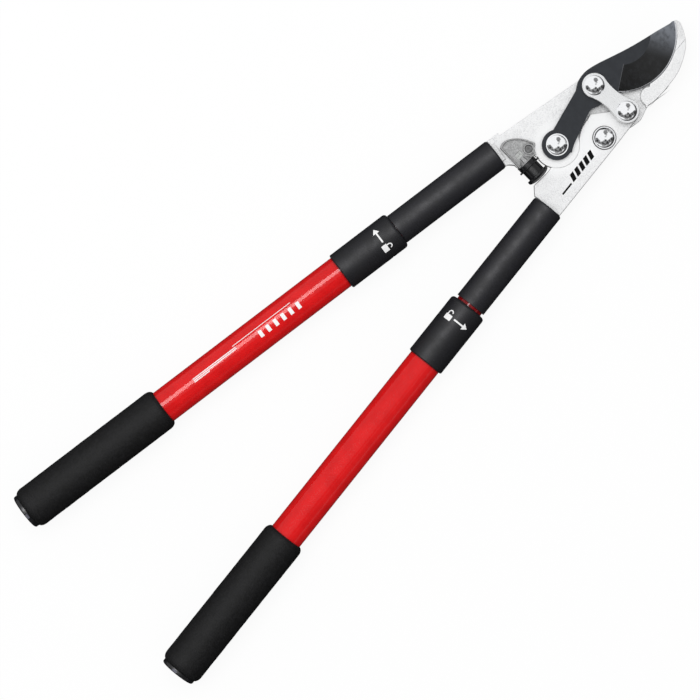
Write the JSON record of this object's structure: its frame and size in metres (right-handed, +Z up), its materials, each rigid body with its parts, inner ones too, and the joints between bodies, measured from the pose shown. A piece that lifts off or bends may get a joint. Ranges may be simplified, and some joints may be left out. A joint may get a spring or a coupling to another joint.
{
  "type": "bypass loppers",
  "caption": "Compound-action bypass loppers with a hooked anvil jaw, linked blade, rubber bumper and telescoping twist-lock handles.",
  "frame": {"origin": "on the ground under the middle of the tool's box, lying flat with the jaws closed", "axes": "+Y towards the jaw's tip along the tool, +Z up out of the head's flat face, +X towards the lever's side"},
  "size_m": [0.2258, 0.7022, 0.038],
  "materials": {
    "forged_aluminium": "sand-blasted, pale silver",
    "coated_blade": "charcoal non-stick coating, ground bevel",
    "satin_steel": "satin",
    "chrome": "polished",
    "black_oxide": "black oxide",
    "zinc": "zinc plated",
    "cast_zinc": "as cast, tumbled",
    "bumper_rubber": "smooth moulded",
    "red_enamel": "gloss enamel",
    "sleeve_plastic": "satin",
    "collar_plastic": "satin",
    "core_plastic": "moulded",
    "bush_plastic": "natural acetal",
    "foam": "fine closed-cell foam",
    "cap_plastic": "satin"
  },
  "bodies": {
    "hook_frame": {"hook_plate": "forged_aluminium", "main_bolt": "chrome", "main_washer": "black_oxide", "main_nut": "zinc", "blade_bolt": "chrome", "blade_nut": "zinc", "bumper_bracket": "cast_zinc", "bracket_screw": "satin_steel", "bumper_nut": "zinc", "bumper_stud": "zinc", "bumper": "bumper_rubber", "left_inner_tube": "red_enamel", "left_upper_sleeve": "sleeve_plastic", "left_tang_insert": "core_plastic", "left_tang_rivets": "zinc", "left_guide_bush": "bush_plastic"},
    "lever": {"lever_plate": "forged_aluminium", "link_spacer": "satin_steel", "link_lever_bolt": "chrome", "right_inner_tube": "red_enamel", "right_upper_sleeve": "sleeve_plastic", "right_tang_insert": "core_plastic", "right_tang_rivets": "zinc", "right_guide_bush": "bush_plastic"},
    "blade_body": {"blade": "coated_blade"},
    "link_body": {"link": "satin_steel", "link_blade_bolt": "chrome"},
    "left_slider": {"left_outer_tube": "red_enamel", "left_collar_base": "core_plastic", "left_collet": "bush_plastic", "left_grip": "foam", "left_end_cap": "cap_plastic"},
    "right_slider": {"right_outer_tube": "red_enamel", "right_collar_base": "core_plastic", "right_collet": "bush_plastic", "right_grip": "foam", "right_end_cap": "cap_plastic"},
    "left_collar": {"left_lock_collar": "collar_plastic"},
    "right_collar": {"right_lock_collar": "collar_plastic"}
  },
  "joints": [
    {"name": "lever_swing", "type": "hinge", "parent": "hook_frame", "child": "lever", "pos_m": [0.02285, 0.23459, 0.019], "axis": [0, 0, 1], "range_deg": [0, 50]},
    {"name": "blade_swing", "type": "hinge", "parent": "hook_frame", "child": "blade_body", "pos_m": [-0.00115, 0.20109, 0.019], "axis": [0, 0, 1], "range_deg": [0, 23.76]},
    {"name": "link_swing", "type": "hinge", "parent": "lever", "child": "link_body", "pos_m": [0.01985, 0.26359, 0.019], "axis": [0, 0, 1], "range_deg": [-52.01, 0]},
    {"name": "left_extend", "type": "slide", "parent": "hook_frame", "child": "left_slider", "axis": [-0.1236, -0.9923, 0], "range_m": [0, 0.254]},
    {"name": "right_extend", "type": "slide", "parent": "lever", "child": "right_slider", "axis": [0.1236, -0.9923, 0], "range_m": [-0.0025, 0.2515]},
    {"name": "left_twist", "type": "hinge", "parent": "left_slider", "child": "left_collar", "pos_m": [-0.04946, 0.01966, 0.019], "axis": [-0.1236, -0.9923, 0], "range_deg": [0, 90]},
    {"name": "right_twist", "type": "hinge", "parent": "right_slider", "child": "right_collar", "pos_m": [0.04915, 0.01966, 0.019], "axis": [0.1236, -0.9923, 0], "range_deg": [0, 90]}
  ],
  "couplings": [
    {"joint": "blade_swing", "follows": "lever_swing", "ratio": 0.475},
    {"joint": "link_swing", "follows": "lever_swing", "ratio": -1.04}
  ]
}
